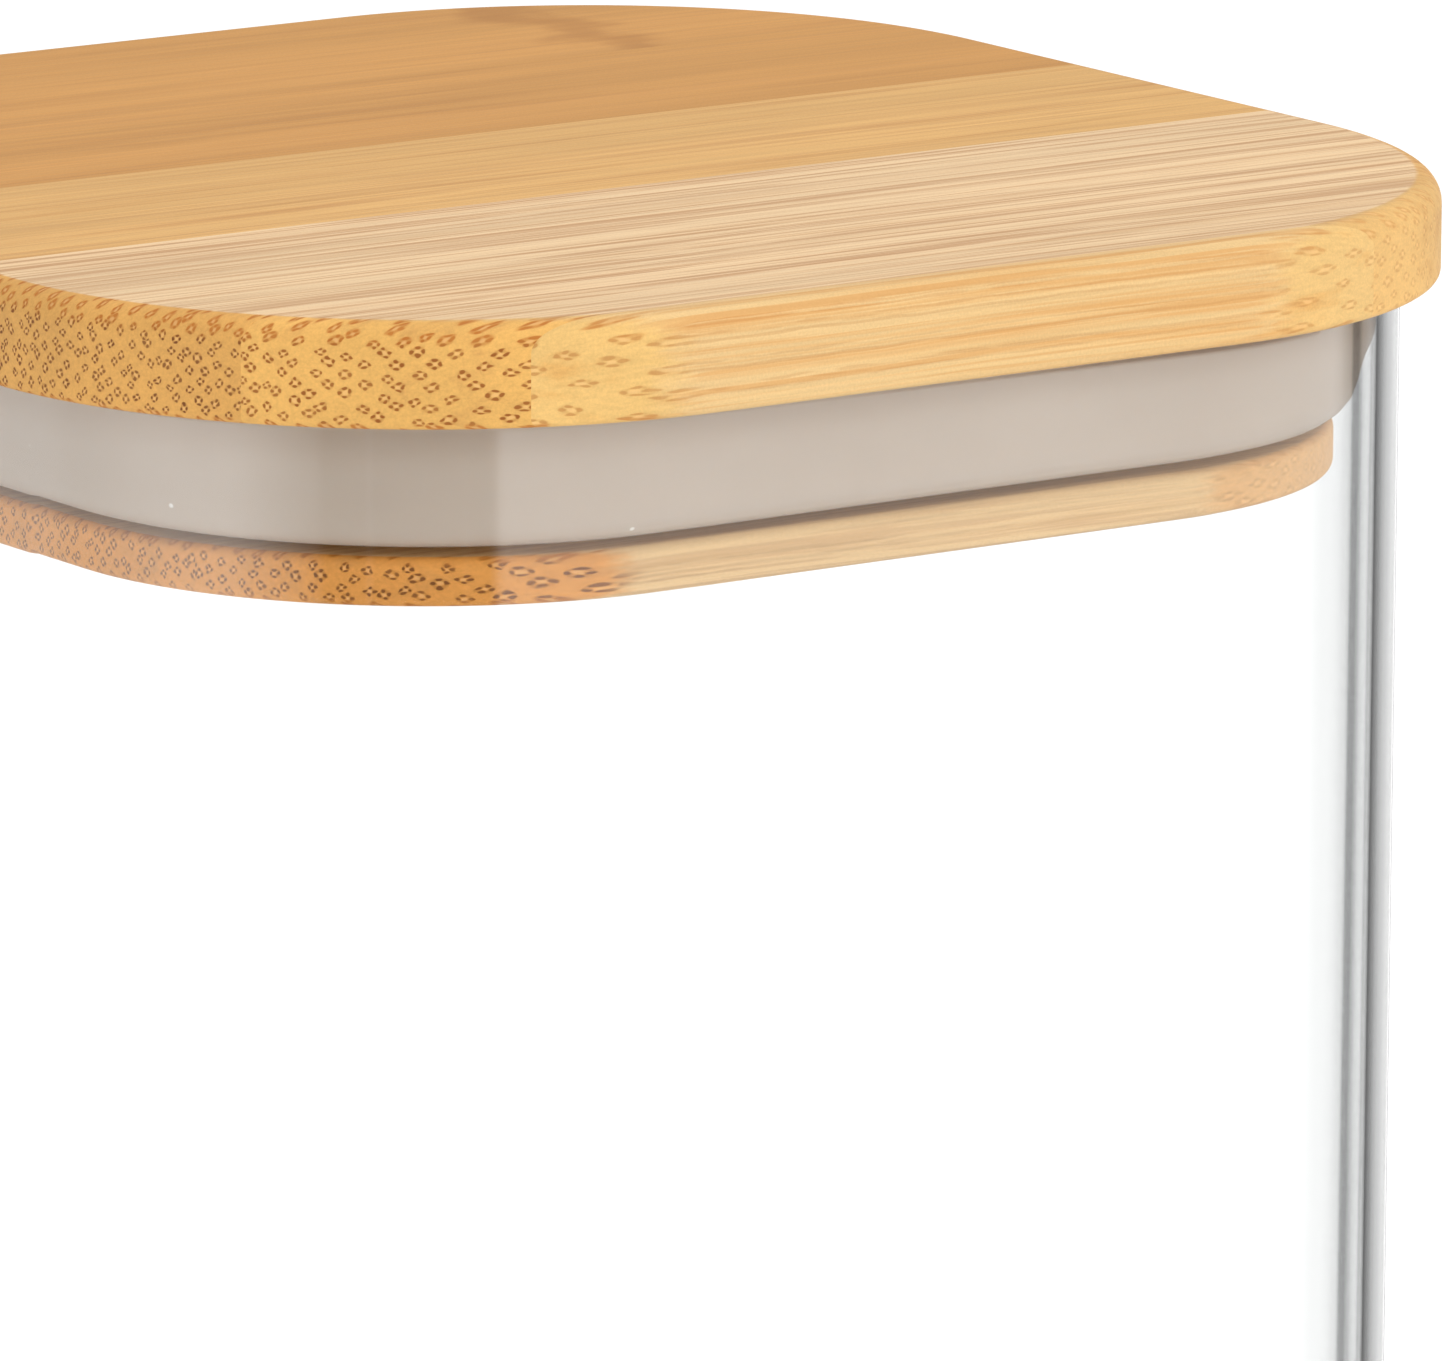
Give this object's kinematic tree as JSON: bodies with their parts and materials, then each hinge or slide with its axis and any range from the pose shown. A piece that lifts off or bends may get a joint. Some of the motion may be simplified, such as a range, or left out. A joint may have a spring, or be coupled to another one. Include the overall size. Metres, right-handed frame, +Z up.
{
  "type": "lidded glass canister",
  "caption": "Rounded-square clear glass storage canister with a lift-off laminated bamboo lid and a frosted silicone seal under the lid plate.",
  "frame": {"origin": "centre of the flat ring that the jar stands on", "axes": "+Z up through the mouth; the lid's bamboo strips run along X"},
  "size_m": [0.1, 0.1, 0.17],
  "materials": {
    "glass": "clear polished",
    "silicone": "frosted translucent satin",
    "bamboo": "sanded, thinly oiled, satin"
  },
  "bodies": {
    "jar": {"glass_jar": "glass"},
    "lid": {"silicone_seal": "silicone", "plate_strip_1": "bamboo", "plate_strip_2": "bamboo", "plate_strip_3": "bamboo", "plate_strip_4": "bamboo", "plate_strip_5": "bamboo", "plate_strip_6": "bamboo", "plug_strip_1": "bamboo", "plug_strip_2": "bamboo", "plug_strip_3": "bamboo", "plug_strip_4": "bamboo", "plug_strip_5": "bamboo"}
  },
  "joints": [
    {"name": "lid_lift", "type": "slide", "parent": "jar", "child": "lid", "axis": [0, 0, 1], "range_m": [0, 0.06]}
  ]
}
